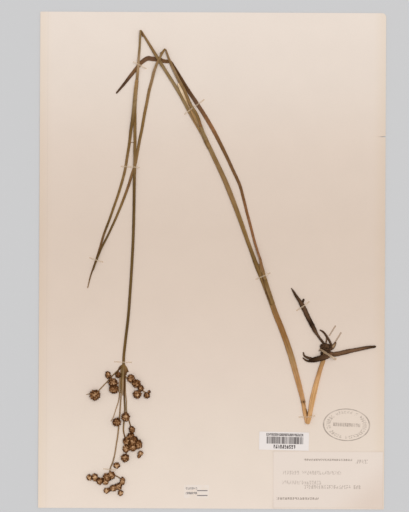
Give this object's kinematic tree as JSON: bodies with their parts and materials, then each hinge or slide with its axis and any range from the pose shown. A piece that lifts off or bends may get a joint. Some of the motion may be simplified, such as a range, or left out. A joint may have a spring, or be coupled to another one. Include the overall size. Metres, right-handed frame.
{
  "type": "pressed rush on a herbarium sheet",
  "caption": "Dried, pressed rush with folded stem, leaves, roots and spiky fruit heads, strapped flat to a cream mounting sheet with two plain labels.",
  "frame": {"origin": "middle of the mounting sheet's underside", "axes": "+X to the right across the sheet, +Y up the sheet towards its head, +Z off the paper; the sheet lies flat"},
  "size_m": [0.292, 0.419, 0.0068],
  "materials": {
    "sheet_paper": "matte",
    "label_paper": "matte",
    "white_paper": "matte",
    "strap_paper": "matte",
    "culm_straw": "satin",
    "culm_olive": "satin",
    "dead_leaf": "matte",
    "leaf": "matte",
    "root": "matte",
    "flower_ray": "matte",
    "fruit_head": "matte"
  },
  "bodies": {
    "root": {"mounting_sheet": "sheet_paper", "large_label": "label_paper", "small_label": "white_paper", "culm_base_run": "culm_straw", "culm_middle_run": "culm_straw", "culm_top_run": "culm_olive", "lower_leaf": "dead_leaf", "lower_leaf_end": "dead_leaf", "middle_leaf": "leaf", "middle_leaf_end": "leaf", "upper_leaf": "leaf", "upper_root": "root", "loop_root": "root", "right_root": "root", "forked_root": "root", "rhizome_knot": "root", "far_left_ray": "flower_ray", "right_ray": "flower_ray", "fine_left_ray": "flower_ray", "long_ray": "flower_ray", "lower_stalk": "flower_ray", "ray_bundle": "flower_ray", "far_left_head": "fruit_head", "upper_left_head": "fruit_head", "left_pair_of_heads": "fruit_head", "bract_head": "fruit_head", "right_row_of_heads": "fruit_head", "right_end_head": "fruit_head", "middle_left_head": "fruit_head", "middle_head": "fruit_head", "middle_cluster": "fruit_head", "cluster_foot_head": "fruit_head", "cluster_right_head": "fruit_head", "stem_head": "fruit_head", "bottom_row_of_heads": "fruit_head", "bottom_branch_of_heads": "fruit_head", "bottom_left_head": "fruit_head", "bottom_tip_head": "fruit_head", "fold_strap": "strap_paper", "leaf_strap": "strap_paper", "stem_strap": "strap_paper", "leaf_tip_strap": "strap_paper", "flower_strap": "strap_paper", "sheath_strap": "strap_paper", "lower_fold_strap": "strap_paper", "upper_root_strap": "strap_paper", "knot_strap": "strap_paper", "loose_strip": "strap_paper", "loose_strip_2": "strap_paper", "long_ray_strap": "strap_paper"}
  },
  "joints": []
}
